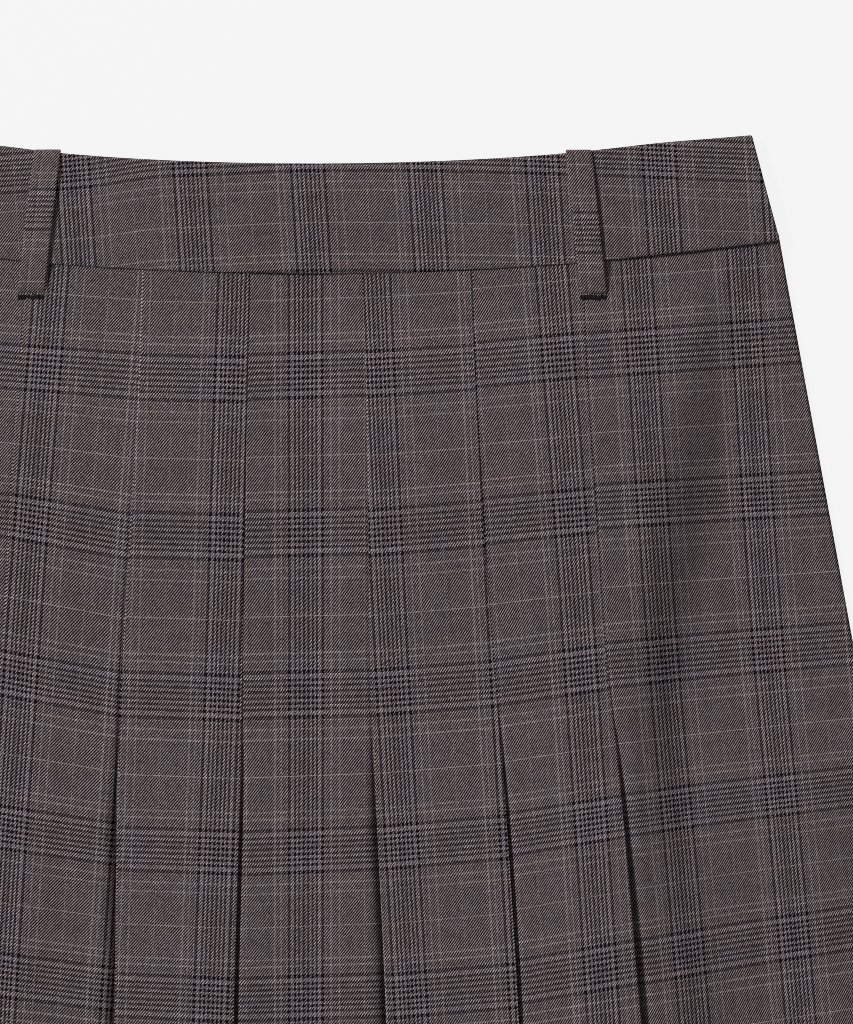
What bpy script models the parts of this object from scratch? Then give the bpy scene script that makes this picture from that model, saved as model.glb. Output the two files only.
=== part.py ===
"""A pleated midi skirt, laid flat with its front side up.

X runs across the skirt, Y from the hem to the waist, and Z up from the surface it lies on. Lengths are
in metres. The origin is under the middle of the whole garment. The cloth pieces are sheets with a wall
about them: the front is lofted through cross sections, each folded into six pressed pleats, and lies on
the two halves of the back.
"""

from collections import namedtuple
from math import cos, pi, sin

import bmesh
import bpy

# The cut
LENGTH = 0.750  # centre front, from the top of the waistband to the hem
BAND_HEIGHT = 0.045
TOP_HALF = 0.1826  # half of the flat waist, along the band's top edge
SEAM_HALF = 0.1942  # the same along the waist seam
SIDE_FLARE = 0.183  # how far the side edge leans out for each metre down
TOP_RISE = 0.0125  # how much higher the band's top edge is at its ends than at the centre
SEAM_RISE = 0.0130  # the same along the waist seam
HEM_RISE = 0.029  # the same along the hem
SKIRT_LENGTH = LENGTH - BAND_HEIGHT

# The cloth
CLOTH = 0.0010  # one layer
BAND_WALL = 0.0026  # two layers of cloth with an interlining
SEAM_GAP = 0.0003  # between two pieces that meet
LAYER_GAP = 0.0003  # between the layers of a pleat where it is stitched down
OPEN_LAYER_GAP = 0.0009  # and at the hem, where the folds are free and spring open
EDGE_ROUND = 0.0009  # on the folded edges of the band

# The pleats
PLEAT_DEPTH = 0.019  # from a fold edge to the fold hidden behind it
PLEAT_RAMP = 0.014  # over this width a panel drops from the top of a pleat to the layer below it
TURN_CLEARANCE = 0.0022  # a panel stays level this far past a fold
TURN_STEPS = 4  # faces round one fold
PANEL_STEPS = 6  # faces across the part of a panel between two pleats
SIDE_STEPS = 14  # and across the wide panel at each side

# Where each fold edge lies across the skirt at four stops down the front, with smooth curves between
# them, and the side that its edge faces: +1 right, -1 left. The panel that ends in the edge lies on top.
STITCH_END = 0.165  # below the waist seam: the pleats are sewn down as far as this
FREE_FROM = 0.205  # and lie open from here
PLEAT_STOPS = (0.0, STITCH_END, FREE_FROM, SKIRT_LENGTH)
Pleat = namedtuple("Pleat", "at_seam at_stitch_end at_free at_hem faces")
PLEATS = (
    Pleat(-0.1169, -0.1269, -0.1321, -0.184, -1),
    Pleat(-0.0711, -0.0789, -0.0810, -0.097, -1),
    Pleat(-0.0254, -0.0281, -0.0281, -0.038, +1),
    Pleat(0.0214, 0.0247, 0.0256, 0.0415, -1),
    Pleat(0.0676, 0.0750, 0.0798, 0.113, +1),
    Pleat(0.1128, 0.1229, 0.1281, 0.180, +1),
)

# The bulk of the pleats holds the middle of the front off the back. On each side it falls in one long
# soft fold, from near the band's end down to the outer pleat and then out to the hem.
LIFT = 0.0034
LIFT_LENGTH = 0.070  # below the seam, over which the lift builds up
HEM_LIFT = 0.5  # the share of it that is left at the hem
Fall = namedtuple("Fall", "down x width")  # how far down, and where the slope is and how wide
FALLS = (
    Fall(0.0, 0.178, 0.016),
    Fall(0.08, 0.160, 0.022),
    Fall(0.185, 0.1435, 0.024),
    Fall(0.28, 0.157, 0.045),
    Fall(SKIRT_LENGTH, 0.235, 0.075),
)
SEAM_LIFT = 0.0007  # at the waist seam the front is this much higher, where it goes into the band
SEAM_LIFT_LENGTH = 0.022

# Cross sections, as distances down from the waist seam
FRONT_STATIONS = (0.0, 0.008, 0.022, 0.05, 0.08, 0.11, 0.14, STITCH_END, 0.185, FREE_FROM)
FRONT_STATIONS += (0.27, 0.36, 0.47, 0.59, SKIRT_LENGTH)
BACK_STEPS = 9  # faces across one half of the back
BAND_STEPS = 14  # faces along half of the band
BAND_ROWS = 3  # faces up its height

# The belt loops: folded strips that turn over the band's top edge and run down past the waist seam
Loop = namedtuple("Loop", "name top_x foot_x")
LOOPS = (Loop("left", -0.1083, -0.1155), Loop("right", 0.1110, 0.1169))
LOOP_WIDTH = 0.0107
LOOP_WALL = 0.0012
LOOP_EDGE_ROUND = 0.0004
LOOP_FOOT = 0.0598  # from the band's top edge down to the loop's lower end
LOOP_ROOM = 0.0011  # left under the middle of an empty loop
LoopStop = namedtuple("LoopStop", "down room")  # how far down, and the share of that room there
LOOP_STOPS = (
    LoopStop(0.006, 0.4),
    LoopStop(0.014, 0.9),
    LoopStop(0.026, 1.0),
    LoopStop(0.038, 0.8),
    LoopStop(0.048, 0.3),
)
LOOP_TURN_STEPS = 4
LOOP_TURN_START, LOOP_TURN_END = 0.06 * pi, 0.5 * pi

# The zip at the centre back
ZIP_HALF_GAP = 0.0026  # from the centre line to the edge of either half of the back
ZIP_HALF = ZIP_HALF_GAP - SEAM_GAP
ZIP_TOP = 0.001  # below the band's top edge
ZIP_END = 0.180  # below the waist seam
ZIP_CLOSE = 0.004  # over this length the seam closes below the zip
ZIP_WALL = 0.0006
ZIP_Z = 0.0001  # its lower side, along the skirt
ZIP_STEP_TOP, ZIP_STEP_FOOT = 0.012, 0.001  # above the waist seam, where it steps up behind the band
TEETH_HALF = 0.0010
TEETH_RISE = 0.0004
SLIDER_HALF = 0.0020
SLIDER_WALL = 0.0009
SLIDER_TOP = 0.004  # below the band's top edge
SLIDER_LENGTH = 0.008
TAB_HALF = 0.0014
TAB_LENGTH = 0.019
TAB_NECK = 0.002  # the length of its narrow neck, and of each slope that leads to it

# Heights and places that follow
TOP_Y = (LENGTH - TOP_RISE) / 2  # the band's top edge at the centre
SEAM_Y = TOP_Y - BAND_HEIGHT
FRONT_Z = CLOTH + SEAM_GAP + CLOTH / 2  # middle of the front's lowest layer
BAND_FRONT_Z = BAND_WALL + SEAM_GAP + BAND_WALL / 2
BAND_TOP_Z = BAND_FRONT_Z + BAND_WALL / 2

CLOTH_COLOUR = (0.083, 0.065, 0.069)
LOOP_COLOUR = (0.080, 0.064, 0.062)
TAPE_COLOUR = (0.035, 0.028, 0.030)
METAL_COLOUR = (0.22, 0.20, 0.20)


def smooth(x):
    """A step that rises from 0 to 1 with no corner."""
    x = min(1.0, max(0.0, x))
    return x * x * (3 - 2 * x)


def along(stops, values, x):
    """The value at x on a smooth curve through the values at the stops."""
    slopes = []
    for i in range(len(stops)):
        before, after = max(i - 1, 0), min(i + 1, len(stops) - 1)
        slopes.append((values[after] - values[before]) / (stops[after] - stops[before]))
    i = max(k for k in range(len(stops) - 1) if x >= stops[k])
    span = stops[i + 1] - stops[i]
    u = (x - stops[i]) / span
    from_start = (2 * u**3 - 3 * u**2 + 1) * values[i] + (u**3 - 2 * u**2 + u) * span * slopes[i]
    from_end = (3 * u**2 - 2 * u**3) * values[i + 1] + (u**3 - u**2) * span * slopes[i + 1]
    return from_start + from_end


def skirt_rise(down):
    """How much the line at this distance down from the waist seam rises towards the side edges."""
    return SEAM_RISE + (HEM_RISE - SEAM_RISE) * down / SKIRT_LENGTH


def skirt_half(down):
    """Half of the skirt's width along that line."""
    return SEAM_HALF + SIDE_FLARE * (down + SEAM_RISE - skirt_rise(down))


def skirt_y(x, down):
    """Where that line is, at x. The line at the seam itself stays clear of the band."""
    gap = SEAM_GAP if down == 0 else 0
    return SEAM_Y - gap - down + skirt_rise(down) * (x / skirt_half(down)) ** 2


def front_lift(x, down):
    """How far the front stands off the place where it would lie flat on the back."""
    downs, centres, widths = zip(*FALLS)
    across = smooth(0.5 + (along(downs, centres, down) - abs(x)) / along(downs, widths, down))
    return LIFT * across * smooth(down / LIFT_LENGTH) * (1 - (1 - HEM_LIFT) * down / SKIRT_LENGTH)


def band_point(across, down, z):
    """A point of the band: across from -1 to 1, and down from 0 at its top edge to 1 at the seam."""
    x = across * (TOP_HALF + (SEAM_HALF - TOP_HALF) * down)
    top = TOP_Y + TOP_RISE * (x / TOP_HALF) ** 2
    seam = SEAM_Y + SEAM_RISE * (x / SEAM_HALF) ** 2
    return x, top + (seam - top) * down, z


# What every piece is made with


def make_material(name, colour, roughness, metallic=0.0):
    material = bpy.data.materials.new(name)
    material.use_nodes = True
    shader = material.node_tree.nodes["Principled BSDF"]
    shader.inputs["Base Color"].default_value = (*colour, 1)
    shader.inputs["Roughness"].default_value = roughness
    shader.inputs["Metallic"].default_value = metallic
    return material


def add_object(name, bm, material):
    """Makes an object of what bm holds, as part of the skirt, and returns it."""
    bmesh.ops.recalc_face_normals(bm, faces=bm.faces)
    mesh = bpy.data.meshes.new(name)
    bm.to_mesh(mesh)
    bm.free()
    mesh.materials.append(material)
    mesh.shade_smooth()
    piece = bpy.data.objects.new(name, mesh)
    bpy.context.collection.objects.link(piece)
    piece.parent = skirt
    return piece


def walled_sheet(name, rows, wall, material, edge_round=0.0):
    """A sheet of cloth through rows of points, with a wall about it and, where asked for, round edges."""
    bm = bmesh.new()
    grid = [[bm.verts.new(point) for point in row] for row in rows]
    for upper, lower in zip(grid, grid[1:]):
        for i in range(len(upper) - 1):
            bm.faces.new((upper[i], lower[i], lower[i + 1], upper[i + 1]))
    piece = add_object(name, bm, material)
    solidify = piece.modifiers.new("wall", "SOLIDIFY")
    solidify.thickness = wall
    solidify.offset = 0
    solidify.use_even_offset = True
    if edge_round:
        bevel = piece.modifiers.new("folded edges", "BEVEL")
        bevel.width = edge_round
        bevel.segments = 2
        bevel.limit_method = "ANGLE"
        bevel.angle_limit = 1.0
    piece.data.set_sharp_from_angle(angle=1.0)


def lofted_bar(name, sections, material):
    """A closed bar through sections that have the same number of points."""
    bm = bmesh.new()
    rings = [[bm.verts.new(point) for point in section] for section in sections]
    for ring, following in zip(rings, rings[1:]):
        for i in range(len(ring)):
            k = (i + 1) % len(ring)
            bm.faces.new((ring[i], ring[k], following[k], following[i]))
    bm.faces.new(rings[0])
    bm.faces.new(rings[-1])
    piece = add_object(name, bm, material)
    piece.data.set_sharp_from_angle(angle=0.6)


# The front


def pleat_turns(x, faces, base, pitch):
    """(x, z) along the cloth through one pleat, from left to right. A pleat that faces right goes down
    from the top layer to the lowest. One that faces left is its mirror image, and goes up."""
    edge_turn = (-(pitch + CLOTH) / 2, base + 1.5 * pitch, -pi)
    hidden_turn = (-PLEAT_DEPTH, base + 0.5 * pitch, pi)
    turns = []
    for centre_x, centre_z, sweep in (edge_turn, hidden_turn):
        for step in range(TURN_STEPS + 1):
            angle = pi / 2 + sweep * step / TURN_STEPS
            turns.append((centre_x + pitch / 2 * cos(angle), centre_z + pitch / 2 * sin(angle)))
    if faces < 0:
        turns = [(-dx, z) for dx, z in reversed(turns)]
    return [(x + dx, z) for dx, z in turns]


def panel(left, left_high, right, right_high, base, pitch, steps):
    """(x, z) across the panel between two pleats. It is two layers up where a pleat's folds lie under it,
    and sinks between them."""
    start = left + TURN_CLEARANCE + PLEAT_DEPTH * left_high
    end = right - TURN_CLEARANCE - PLEAT_DEPTH * right_high
    ramp = min(PLEAT_RAMP, end - start)
    points = []
    for step in range(steps + 1):
        x = start + (end - start) * step / steps
        up = left_high * smooth(1 - (x - start) / ramp) + right_high * smooth(1 - (end - x) / ramp)
        points.append((x, base + 2 * pitch * min(1.0, up)))
    return points


def front_section(down):
    """The front's cross section at a distance down from the waist seam, on the middle of the cloth."""
    opening = smooth((down - STITCH_END) / (SKIRT_LENGTH - STITCH_END))
    pitch = CLOTH + LAYER_GAP + (OPEN_LAYER_GAP - LAYER_GAP) * opening
    base = FRONT_Z + SEAM_LIFT * smooth(1 - down / SEAM_LIFT_LENGTH)
    half = skirt_half(down)
    section = [(-half, base)]
    left, left_high, steps = -half, False, SIDE_STEPS
    for pleat in PLEATS:
        x = along(PLEAT_STOPS, pleat[:4], down)
        section += panel(left, left_high, x, pleat.faces > 0, base, pitch, steps)
        section += pleat_turns(x, pleat.faces, base, pitch)
        left, left_high, steps = x, pleat.faces < 0, PANEL_STEPS
    section += panel(left, left_high, half, False, base, pitch, SIDE_STEPS)
    section.append((half, base))
    return [(x, skirt_y(x, down), z + front_lift(x, down)) for x, z in section]


def make_front(material):
    walled_sheet("skirt_front", [front_section(down) for down in FRONT_STATIONS], CLOTH, material)


# The back


def make_back(name, side, material):
    """One half of the back. It stops short of the centre for the zip, and joins the other half below."""
    rows = []
    for down in (0.0, ZIP_END / 2, ZIP_END, ZIP_END + ZIP_CLOSE, 0.27, 0.36, 0.47, 0.59, SKIRT_LENGTH):
        inner = ZIP_HALF_GAP if down <= ZIP_END else SEAM_GAP / 2
        half = skirt_half(down)
        columns = [inner + (half - inner) * i / BACK_STEPS for i in range(BACK_STEPS + 1)]
        rows.append([(side * x, skirt_y(x, down), CLOTH / 2) for x in columns[::side]])
    walled_sheet(name, rows, CLOTH, material)


# The waistband


def make_band_front(material):
    rows = []
    for row in range(BAND_ROWS + 1):
        shares = [i / BAND_STEPS - 1 for i in range(2 * BAND_STEPS + 1)]
        rows.append([band_point(share, row / BAND_ROWS, BAND_FRONT_Z) for share in shares])
    walled_sheet("waistband_front", rows, BAND_WALL, material, EDGE_ROUND)


def make_band_back(name, side, material):
    """Half of the back waistband, from the zip to the side seam."""
    rows = []
    for row in range(BAND_ROWS + 1):
        down = row / BAND_ROWS
        inner = ZIP_HALF_GAP / (TOP_HALF + (SEAM_HALF - TOP_HALF) * down)
        shares = [inner + (1 - inner) * i / BAND_STEPS for i in range(BAND_STEPS + 1)]
        rows.append([band_point(side * share, down, BAND_WALL / 2) for share in shares[::side]])
    walled_sheet(name, rows, BAND_WALL, material)


def make_loop(loop, material):
    """A belt loop. It turns over the band's top edge, stands off the band and ends on the skirt."""
    top_y = band_point(loop.top_x / TOP_HALF, 0, 0)[1]
    turn_radius = EDGE_ROUND + SEAM_GAP + LOOP_WALL / 2
    path = []  # the distance down from the band's top edge, and the height of the loop's middle
    for step in range(LOOP_TURN_STEPS + 1):
        angle = LOOP_TURN_START + (LOOP_TURN_END - LOOP_TURN_START) * step / LOOP_TURN_STEPS
        over_edge = BAND_TOP_Z - EDGE_ROUND + turn_radius * sin(angle)
        path.append((EDGE_ROUND - turn_radius * cos(angle), over_edge))
    on_band = BAND_TOP_Z + SEAM_GAP + LOOP_WALL / 2
    path += [(stop.down, on_band + stop.room * LOOP_ROOM) for stop in LOOP_STOPS]
    pleat_top = FRONT_Z + SEAM_LIFT + 2 * (CLOTH + LAYER_GAP) + CLOTH / 2
    path.append((LOOP_FOOT, pleat_top + SEAM_GAP + LOOP_WALL / 2))
    rows = []
    for down, z in path:
        centre = loop.top_x + (loop.foot_x - loop.top_x) * down / LOOP_FOOT
        rows.append([(centre + LOOP_WIDTH / 2 * across, top_y - down, z) for across in (-1, 0, 1)])
    walled_sheet(f"belt_loop_{loop.name}", rows, LOOP_WALL, material, LOOP_EDGE_ROUND)


# The zip


def make_zip_chain(material):
    """The two tapes, with the row of teeth raised on the inner side. It steps up behind the thick band."""
    step_z = SLIDER_WALL + 2 * SEAM_GAP
    stops = (
        (TOP_Y - ZIP_TOP, step_z),
        (SEAM_Y + ZIP_STEP_TOP, step_z),
        (SEAM_Y + ZIP_STEP_FOOT, ZIP_Z),
        (SEAM_Y - ZIP_END + SEAM_GAP, ZIP_Z),
    )
    half_profile = (
        (ZIP_HALF, 0),
        (ZIP_HALF, ZIP_WALL),
        (TEETH_HALF, ZIP_WALL),
        (TEETH_HALF, ZIP_WALL + TEETH_RISE),
    )
    profile = half_profile + tuple((-x, height) for x, height in reversed(half_profile))
    sections = [[(x, y, z + height) for x, height in profile] for y, z in stops]
    lofted_bar("zip_chain", sections, material)


def make_zip_slider(material):
    """The slider's outer plate with its pull tab, closed at the top, flat between zip and surface."""
    top = TOP_Y - SLIDER_TOP
    neck = top - SLIDER_LENGTH
    outline = (
        (top, SLIDER_HALF),
        (neck + TAB_NECK, SLIDER_HALF),
        (neck, TAB_HALF / 2),
        (neck - TAB_NECK, TAB_HALF / 2),
        (neck - 2 * TAB_NECK, TAB_HALF),
        (neck - TAB_LENGTH, TAB_HALF),
    )
    low, high = SEAM_GAP, SEAM_GAP + SLIDER_WALL
    sections = [[(half, y, low), (half, y, high), (-half, y, high), (-half, y, low)] for y, half in outline]
    lofted_bar("zip_slider", sections, material)


for left_over in list(bpy.data.objects):
    bpy.data.objects.remove(left_over)

skirt = bpy.data.objects.new("skirt", None)
bpy.context.collection.objects.link(skirt)

suiting = make_material("suiting", CLOTH_COLOUR, 0.85)
band_suiting = make_material("band suiting", CLOTH_COLOUR, 0.85)

make_front(suiting)
make_band_front(band_suiting)
for side_name, side in (("left", -1), ("right", +1)):
    make_back(f"skirt_back_{side_name}", side, suiting)
    make_band_back(f"waistband_back_{side_name}", side, band_suiting)

loop_suiting = make_material("loop suiting", LOOP_COLOUR, 0.85)
for loop in LOOPS:
    make_loop(loop, loop_suiting)

make_zip_chain(make_material("zip tape", TAPE_COLOUR, 0.7))
make_zip_slider(make_material("zip metal", METAL_COLOUR, 0.4, 1.0))
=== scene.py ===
from collections import namedtuple
from math import cos, hypot, pi, sin

import bpy
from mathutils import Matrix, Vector, noise


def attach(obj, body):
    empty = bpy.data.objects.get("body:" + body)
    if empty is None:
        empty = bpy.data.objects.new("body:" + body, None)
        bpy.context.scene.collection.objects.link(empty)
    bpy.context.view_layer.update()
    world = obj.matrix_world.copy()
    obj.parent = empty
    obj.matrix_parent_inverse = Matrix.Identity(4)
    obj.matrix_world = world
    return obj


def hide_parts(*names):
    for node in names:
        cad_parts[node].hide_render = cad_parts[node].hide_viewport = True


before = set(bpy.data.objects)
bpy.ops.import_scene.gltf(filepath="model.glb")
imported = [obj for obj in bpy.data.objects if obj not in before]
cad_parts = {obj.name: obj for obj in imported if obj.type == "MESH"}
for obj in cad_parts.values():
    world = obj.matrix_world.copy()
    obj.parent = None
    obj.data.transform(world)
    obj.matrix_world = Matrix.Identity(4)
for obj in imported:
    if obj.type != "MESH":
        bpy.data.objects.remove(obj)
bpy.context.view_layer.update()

# ----------------------------------------------------------------------
# The table, the light and the camera. The skirt lies on a pale light table, with one large soft lamp
# low on the upper left, and the camera looks straight down on the right half of its upper part.

VIEW_WIDTH, VIEW_HEIGHT = 853, 1024  # pixels
PIXELS_PER_METRE = 2420
CENTRE_FRONT_PIXEL, BAND_TOP_PIXEL = 310, 163.5  # where the centre front meets the band's top edge
BAND_TOP_Y = 0.36875  # the same place on the table
CAMERA_HEIGHT = 1.5  # above the cloth
CLOTH_HEIGHT = 0.004
SENSOR = 36.0
CLIP_END = 20

TABLE_SIZE = 8.0
TABLE_DROP = 0.0002  # just under the skirt
TABLE_COLOUR = (0.03, 0.03, 0.03, 1)
TABLE_GLOW = 0.8797
WHITE = (1, 1, 1, 1)
LAMP_TOWARDS = Vector((-0.80, 0.38, 0.61)).normalized()
LAMP_DISTANCE = 6.5
LAMP_SIZE = 1.14
LAMP_POWER = 575
ROOM_LIGHT = 0.32
PIXEL_FILTER = 0.9  # as sharp as a weave needs that is two pixels wide

scene = bpy.context.scene
scene.view_settings.view_transform = "Standard"
scene.cycles.use_denoising = False
scene.cycles.filter_width = PIXEL_FILTER

bpy.ops.object.select_all(action="DESELECT")
bpy.ops.mesh.primitive_plane_add(size=TABLE_SIZE, location=(0, 0, -TABLE_DROP))
table = bpy.context.object
table.name = "table"
table_finish = bpy.data.materials.new("light table")
table_finish.use_nodes = True
table_shader = table_finish.node_tree.nodes["Principled BSDF"]
table_shader.inputs["Base Color"].default_value = TABLE_COLOUR
table_shader.inputs["Roughness"].default_value = 1.0
table_shader.inputs["Specular IOR Level"].default_value = 0.0
table_shader.inputs["Emission Color"].default_value = WHITE
table_shader.inputs["Emission Strength"].default_value = TABLE_GLOW
table.data.materials.append(table_finish)

room = bpy.data.worlds.new("room")
room.use_nodes = True
room.node_tree.nodes["Background"].inputs["Strength"].default_value = ROOM_LIGHT
room.node_tree.nodes["Background"].inputs["Color"].default_value = WHITE
scene.world = room

view_x = (VIEW_WIDTH / 2 - CENTRE_FRONT_PIXEL) / PIXELS_PER_METRE
view_y = BAND_TOP_Y - (VIEW_HEIGHT / 2 - BAND_TOP_PIXEL) / PIXELS_PER_METRE
lamp_place = Vector((view_x, view_y, 0)) + LAMP_TOWARDS * LAMP_DISTANCE
bpy.ops.object.light_add(type="AREA", location=lamp_place)
lamp = bpy.context.object
lamp.rotation_euler = LAMP_TOWARDS.to_track_quat("Z", "Y").to_euler()
lamp.data.shape = "DISK"
lamp.data.size = LAMP_SIZE
lamp.data.energy = LAMP_POWER

bpy.ops.object.camera_add(location=(view_x, view_y, CLOTH_HEIGHT + CAMERA_HEIGHT), rotation=(0, 0, 0))
camera = bpy.context.object
camera.data.sensor_width = SENSOR
camera.data.lens = SENSOR * CAMERA_HEIGHT / (VIEW_HEIGHT / PIXELS_PER_METRE)
camera.data.clip_end = CLIP_END
scene.camera = camera

# ----------------------------------------------------------------------
# The front: one width of worsted cloth, folded into six knife pleats that are pressed all the way down
# and sewn shut over their upper part. Below that they spring open a little. The cloth is a twill with
# a woven check, and each pleat turns the grain of the next panel by a degree or so.

# The cut, as the solids have it
LENGTH = 0.750
BAND_HEIGHT = 0.045
TOP_HALF = 0.1826  # half of the flat waist, along the band's top edge
SEAM_HALF = 0.1942  # the same along the waist seam
SIDE_FLARE = 0.183  # how far the side edge leans out for each metre down
TOP_RISE, SEAM_RISE, HEM_RISE = 0.0125, 0.0130, 0.029  # how much higher each line is at its ends
SKIRT_LENGTH = LENGTH - BAND_HEIGHT
TOP_Y = (LENGTH - TOP_RISE) / 2
SEAM_Y = TOP_Y - BAND_HEIGHT
SEAM_GAP = 0.0003

# The layers
CLOTH = 0.00045
FRONT_Z = 0.0018  # the middle of the front's lowest layer
STITCHED_PITCH = 0.00052  # from layer to layer where the pleats are sewn down
OPEN_PITCH = 0.0010  # and where they hang free
STITCH_END = 0.180  # below the waist seam
RELEASE = 0.055  # over this length the pleats spring open
LOOSEN = 0.16  # and over this length their layers part
PLEAT_DEPTH = 0.019
TURN_CLEARANCE = 0.0006  # between a panel and the tall fold that lies on it
LOW_CLEARANCE = 0.3  # the share of it beside a fold that stands no higher than the panel
OVER_RAMP, UNDER_RAMP = 0.018, 0.035  # where a panel sinks off its own folds, and away from a fold on it
SWELL = 0.0024  # how high a free panel arches between its folds
VALLEY_CURVE = 2.6  # how steeply it dives at the foot of a fold
GROOVE, GROOVE_WIDTH = 0.00060, 0.0010  # where a sewn fold is pressed into the panel beside it
EDGE_DROP, EDGE_ROLL = 0.0008, 0.0010  # how far a side edge rolls down, and over what width

# At these distances below the waist seam: where each fold edge is across the skirt, and what share of
# its height it stands off the panel beside it. Then how wide the valley beside it is where it hangs
# free, and which way it faces: +1 is right.
Pleat = namedtuple("Pleat", "edge step valley faces")
PLEAT_STOPS = (0.0, 0.055, 0.105, 0.165, 0.205, 0.305, SKIRT_LENGTH)
PLEATS = (
    Pleat(edge=(-0.1169, -0.1203, -0.1236, -0.1269, -0.1321, -0.1425, -0.184),
          step=(0.2, 0.2, 0.2, 0.3, 0.8, 0.9, 1.0), valley=0.0060, faces=-1),
    Pleat(edge=(-0.0694, -0.0709, -0.0737, -0.0772, -0.0787, -0.0799, -0.0900),
          step=(0.1, 0.15, 0.45, 0.95, 1.0, 1.0, 1.0), valley=0.0062, faces=-1),
    Pleat(edge=(-0.0250, -0.0261, -0.0268, -0.0274, -0.0278, -0.0304, -0.0380),
          step=(0.35, 0.35, 0.25, 0.2, 0.4, 0.45, 0.5), valley=0.0030, faces=+1),
    Pleat(edge=(0.0214, 0.0234, 0.0242, 0.0251, 0.0267, 0.03145, 0.0440),
          step=(0.1, 0.15, 0.3, 0.35, 0.9, 1.0, 1.0), valley=0.0048, faces=-1),
    Pleat(edge=(0.0673, 0.0691, 0.0720, 0.0762, 0.0798, 0.0861, 0.1040),
          step=(0.0, 0.2, 0.2, 0.15, 0.3, 0.5, 0.5), valley=0.0030, faces=+1),
    Pleat(edge=(0.1128, 0.1151, 0.1183, 0.1225, 0.1269, 0.1356, 0.1700),
          step=(0.1, 0.15, 0.2, 0.12, 0.5, 1.0, 1.0), valley=0.0060, faces=+1),
)

# The three long soft folds down each side: how far from the centre the cloth falls away, over what
# width, and by how much
Fall = namedtuple("Fall", "down x width drop")
INNER_FALLS = (
    Fall(0.0, 0.176, 0.018, 0.0),
    Fall(0.045, 0.1645, 0.028, 0.0044),
    Fall(0.09, 0.1575, 0.030, 0.0070),
    Fall(0.16, 0.1467, 0.031, 0.0074),
    Fall(0.215, 0.1446, 0.030, 0.0062),
    Fall(0.29, 0.153, 0.045, 0.0058),
    Fall(SKIRT_LENGTH, 0.215, 0.090, 0.0026),
)
MIDDLE_FALLS = (
    Fall(0.0, 0.175, 0.040, 0.0),
    Fall(0.12, 0.172, 0.040, 0.0),
    Fall(0.20, 0.170, 0.045, 0.0016),
    Fall(0.29, 0.172, 0.045, 0.0024),
    Fall(SKIRT_LENGTH, 0.250, 0.090, 0.0008),
)
OUTER_FALLS = (
    Fall(0.0, 0.190, 0.015, 0.0),
    Fall(0.16, 0.200, 0.020, 0.0),
    Fall(0.22, 0.208, 0.032, 0.0016),
    Fall(0.29, 0.220, 0.036, 0.0032),
    Fall(SKIRT_LENGTH, 0.300, 0.040, 0.0018),
)
SEAM_LIFT, SEAM_LIFT_LENGTH = 0.0011, 0.022  # the front is this much higher where it goes into the band
# The slight unevenness of pressed cloth: its height, and how many waves it has in a metre each way
Ripple = namedtuple("Ripple", "height across down seed")
RIPPLES = (Ripple(0.00035, 22, 14, 0.0), Ripple(0.00018, 60, 45, 3.0))

# The check: how many threads it takes to repeat, and how wide and long that is on the cut cloth
CHECK_THREADS = 170
CHECK_WIDTH = 0.0485
CHECK_LENGTH = 0.0645
# Below the waist seam, on the centre line, the middles of the dark bands of weft
DARK_WEFTS = (0.0425, 0.1074, 0.1740, 0.2380, 0.2979)
# For each panel: where the middle of a dark column of warp is at three distances below the seam and at
# the hem, how many checks fit into the width of one, how far its weft climbs to the right for each metre
# across, and how many millimetres lower it is than on the panel before it. The last two are given at
# each dark band of weft, and the panels are counted outwards from the centre.
Panel = namedtuple("Panel", "columns checks climbs steps")
COLUMN_STOPS = (0.0236, 0.1393, 0.2716, SKIRT_LENGTH)
PANELS = (
    Panel(columns=(-0.1870, -0.1920, -0.2020, -0.255), checks=1.08,
          climbs=(-0.08, -0.08, -0.10, -0.13, -0.15), steps=(0, 0, 0, 0, 0)),
    Panel(columns=(-0.1084, -0.1170, -0.1252, -0.1520), checks=1.00,
          climbs=(-0.07, -0.18, -0.18, -0.15, -0.13), steps=(-0.5, 1.0, 0.2, -1.7, -1.9)),
    Panel(columns=(-0.0316, -0.0350, -0.0392, -0.0545), checks=1.00,
          climbs=(-0.02, -0.03, -0.04, -0.035, -0.05), steps=(0.9, 1.5, 1.1, -0.4, 0.2)),
    Panel(columns=(-0.0018, -0.0014, -0.0013, -0.0011), checks=1.00,
          climbs=(0.035, 0.025, 0.025, 0.04, 0.03), steps=(0, 0, 0, 0, 0)),
    Panel(columns=(0.0274, 0.0327, 0.0401, 0.0643), checks=1.03,
          climbs=(0.06, 0.085, 0.077, 0.085, 0.085), steps=(0.4, 0.9, 0.1, 0.0, 0.6)),
    Panel(columns=(0.1017, 0.1100, 0.1184, 0.1459), checks=1.045,
          climbs=(0.09, 0.10, 0.148, 0.165, 0.168), steps=(-1.1, -0.9, -0.2, -1.0, -1.3)),
    Panel(columns=(0.1366, 0.1442, 0.1552, 0.1912), checks=1.10,
          climbs=(0.075, 0.063, 0.10, 0.132, 0.148), steps=(0.3, -1.8, -0.6, -0.1, 0.6)),
)
MIDDLE_PANEL = 3  # the place in that list of the panel on the centre line
HANDOVER, HANDOVER_LENGTH = 0.35, 0.3  # where in a pleat its check changes over, in shares of its cloth

# How finely the front is divided
FOLD_STEPS = (0.0, 0.0003, 0.0006, 0.0009, 0.0013, 0.0019, 0.0028, 0.0042, 0.0062)
SIDE_STEPS, PANEL_STEPS, TURN_STEPS = 26, 8, 6
SEEN_ROWS, LOWER_ROWS, SEEN_LENGTH = 104, 34, 0.315
TUCK = 0.003  # how far the cloth goes up into the band
SHARP = 1.2  # cloth looks creased where it turns by more than this angle


def smooth(x):
    """A step that rises from 0 to 1 with no corner."""
    x = min(1.0, max(0.0, x))
    return x * x * (3 - 2 * x)


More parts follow.
